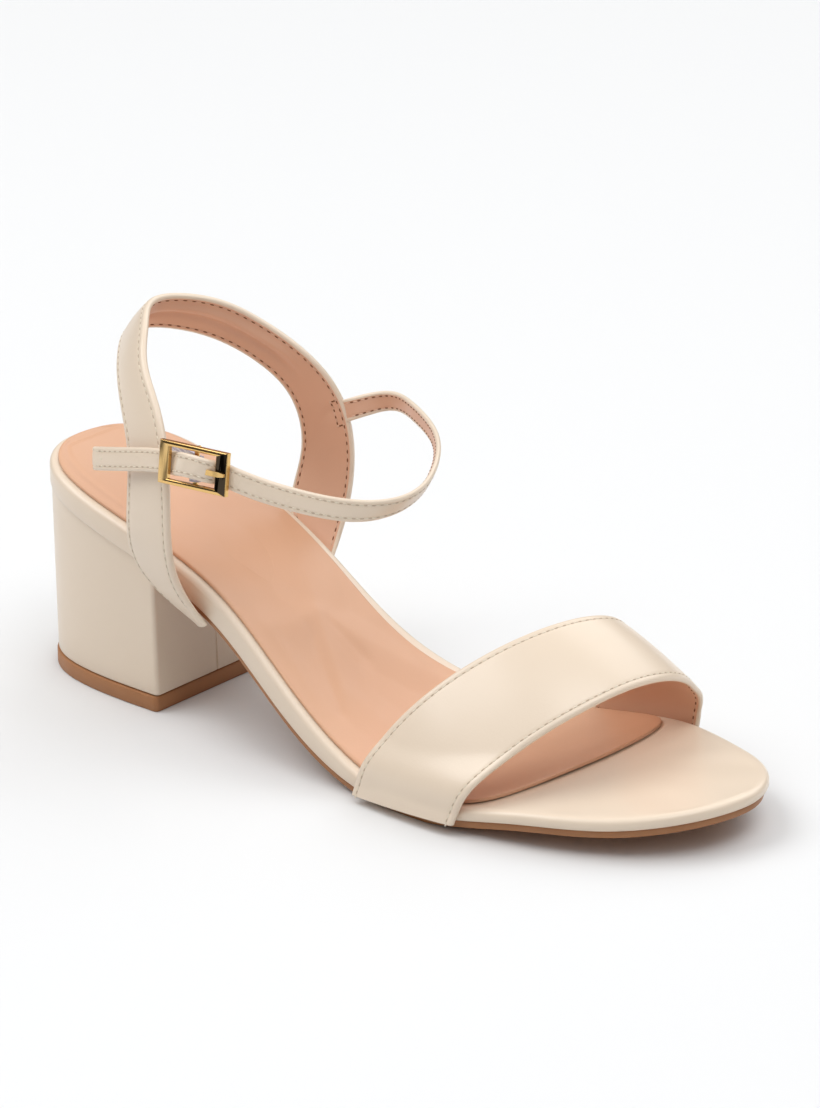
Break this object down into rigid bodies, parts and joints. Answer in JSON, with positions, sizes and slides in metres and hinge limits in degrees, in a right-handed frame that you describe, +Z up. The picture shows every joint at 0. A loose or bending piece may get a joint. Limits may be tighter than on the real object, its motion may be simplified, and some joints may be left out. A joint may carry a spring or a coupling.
{
  "type": "block heel sandal",
  "caption": "Right open-toe sandal with a wrapped block heel, a wide toe strap, a heel band and a buckled ankle strap.",
  "frame": {"origin": "under the middle of the shoe's bounding box, on the floor", "axes": "+X from the heel to the toe, +Z up, +Y towards the medial side"},
  "size_m": [0.2398, 0.1006, 0.1172],
  "materials": {
    "cream_leather": "smooth satin, soft gloss",
    "blush_lining": "matte, fine grain",
    "tan_rubber": "satin",
    "gold_metal": "polished",
    "white_elastic": "woven"
  },
  "bodies": {
    "root": {"outsole": "tan_rubber", "heel_block": "cream_leather", "heel_top_piece": "tan_rubber", "footbed": "cream_leather", "sock": "blush_lining", "toe_strap": "cream_leather", "heel_strap": "cream_leather", "buckle_frame": "gold_metal", "buckle_prong": "gold_metal", "buckle_keeper": "white_elastic"}
  },
  "joints": []
}
